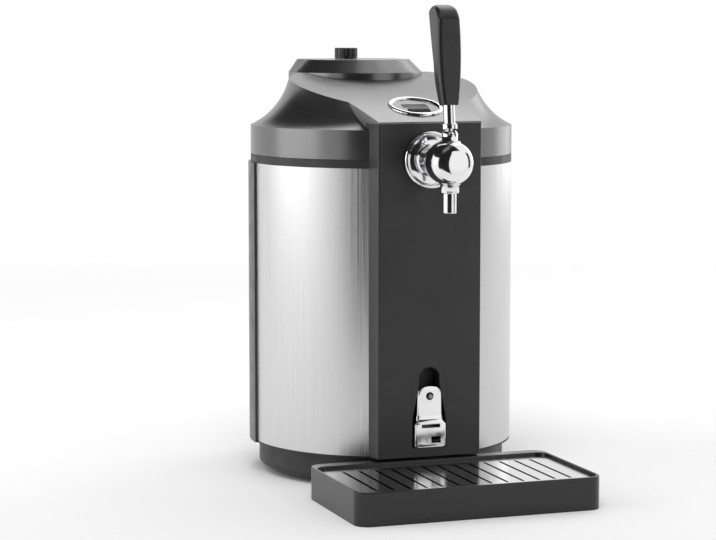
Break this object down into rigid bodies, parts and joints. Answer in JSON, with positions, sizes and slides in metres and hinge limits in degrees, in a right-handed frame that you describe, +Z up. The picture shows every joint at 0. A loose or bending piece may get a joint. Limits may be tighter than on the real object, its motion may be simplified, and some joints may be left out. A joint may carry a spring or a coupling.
{
  "type": "mini keg beer dispenser",
  "caption": "Counter-top cooler and dispenser for a small keg: round steel-clad cabinet with a hinged flared lid, lever tap, bottle opener in a niche, fan-cooled back and loose drip tray.",
  "frame": {"origin": "middle of the overall footprint on the table, drip tray included", "axes": "+X to the right seen from the front, +Y to the back, +Z up"},
  "size_m": [0.268, 0.4206, 0.4678],
  "materials": {
    "black_plastic": "satin",
    "gloss_black": "gloss",
    "satin_black": "satin",
    "grey_plastic": "satin",
    "white_plastic": "matte",
    "fan_plastic": "satin",
    "brushed_steel": "satin",
    "polished_steel": "polished",
    "galvanised_sheet": "satin",
    "chrome": "polished",
    "aluminium": "satin",
    "brass": "satin",
    "fastener": "satin",
    "rubber": "matte",
    "foam": "matte",
    "circuit_board": "satin",
    "dark_glass": "gloss"
  },
  "bodies": {
    "cabinet": {"rubber_feet": "rubber", "base_pan": "black_plastic", "steel_left": "brushed_steel", "steel_right": "brushed_steel", "top_collar": "black_plastic", "keg_well": "aluminium", "well_foam": "foam", "front_panel": "black_plastic", "rear_cover": "black_plastic", "rear_frame": "galvanised_sheet", "cold_block": "aluminium", "thermoelectric_cell": "white_plastic", "heat_sink": "aluminium", "fan_frame": "fan_plastic", "temperature_sensor": "fastener", "power_board": "circuit_board", "control_board": "circuit_board", "power_inlet": "gloss_black", "power_switch": "gloss_black", "tap_washer": "rubber", "tap_flange": "chrome", "tap_shank": "chrome", "tap_nut": "chrome", "tap_coupling": "chrome", "tap_body": "chrome", "tap_spout": "chrome", "tap_bonnet": "chrome", "bottle_opener": "chrome", "opener_screw": "fastener", "hinge_pin": "fastener", "fan_screws": "fastener", "cover_screws": "fastener"},
    "lid": {"lid_shell": "black_plastic", "lid_liner": "grey_plastic", "lid_foam": "foam", "lid_gasket": "rubber", "lid_screws": "fastener", "display_bezel": "chrome", "display_dial": "gloss_black", "display_window": "dark_glass", "display_board": "circuit_board", "regulator_body": "aluminium"},
    "lever": {"tap_lever": "chrome", "handle_insert": "brass", "tap_handle": "satin_black"},
    "valve": {"tap_plunger": "brass", "tap_seal": "rubber"},
    "fan": {"fan_rotor": "fan_plastic"},
    "rocker": {"switch_rocker": "gloss_black"},
    "button": {"set_button": "grey_plastic"},
    "knob": {"regulator_knob": "satin_black"},
    "sleeve": {"cartridge_sleeve": "aluminium"},
    "tray": {"drip_tray": "gloss_black"},
    "plate": {"drip_plate": "polished_steel"}
  },
  "joints": [
    {"name": "lid_hinge", "type": "hinge", "parent": "cabinet", "child": "lid", "pos_m": [0, 0.20325, 0.3263], "axis": [-1, 0, 0], "range_deg": [0, 95]},
    {"name": "tap_lever_hinge", "type": "hinge", "parent": "cabinet", "child": "lever", "pos_m": [0, -0.12325, 0.3455], "axis": [1, 0, 0], "range_deg": [0, 24]},
    {"name": "tap_plunger_slide", "type": "slide", "parent": "cabinet", "child": "valve", "axis": [0, 1, 0], "range_m": [0, 0.009]},
    {"name": "fan_spin", "type": "hinge", "parent": "cabinet", "child": "fan", "pos_m": [0, 0.19025, 0.178], "axis": [0, 1, 0], "continuous": true},
    {"name": "switch_rocker_hinge", "type": "hinge", "parent": "cabinet", "child": "rocker", "pos_m": [0.028, 0.20525, 0.078], "axis": [1, 0, 0], "range_deg": [0, 12]},
    {"name": "set_button_press", "type": "slide", "parent": "lid", "child": "button", "axis": [0, 0.2776, -0.9607], "range_m": [0, 0.001], "stiffness_N_per_m": 300, "springref_m": -0.001},
    {"name": "regulator_knob_turn", "type": "hinge", "parent": "lid", "child": "knob", "pos_m": [0, 0.17125, 0.4133], "axis": [0, 0, 1], "range_deg": [0, 270]},
    {"name": "cartridge_sleeve_turn", "type": "hinge", "parent": "lid", "child": "sleeve", "pos_m": [0, 0.15595, 0.372], "axis": [0, 1, 0], "range_deg": [0, 1080]},
    {"name": "drip_tray_slide", "type": "slide", "parent": "cabinet", "child": "tray", "axis": [0, -1, 0], "range_m": [0, 0.16]},
    {"name": "drip_plate_lift", "type": "slide", "parent": "tray", "child": "plate", "axis": [0, 0, 1], "range_m": [0, 0.06]}
  ],
  "couplings": [
    {"joint": "tap_plunger_slide", "follows": "tap_lever_hinge", "m_per_rad": 0.0205}
  ]
}
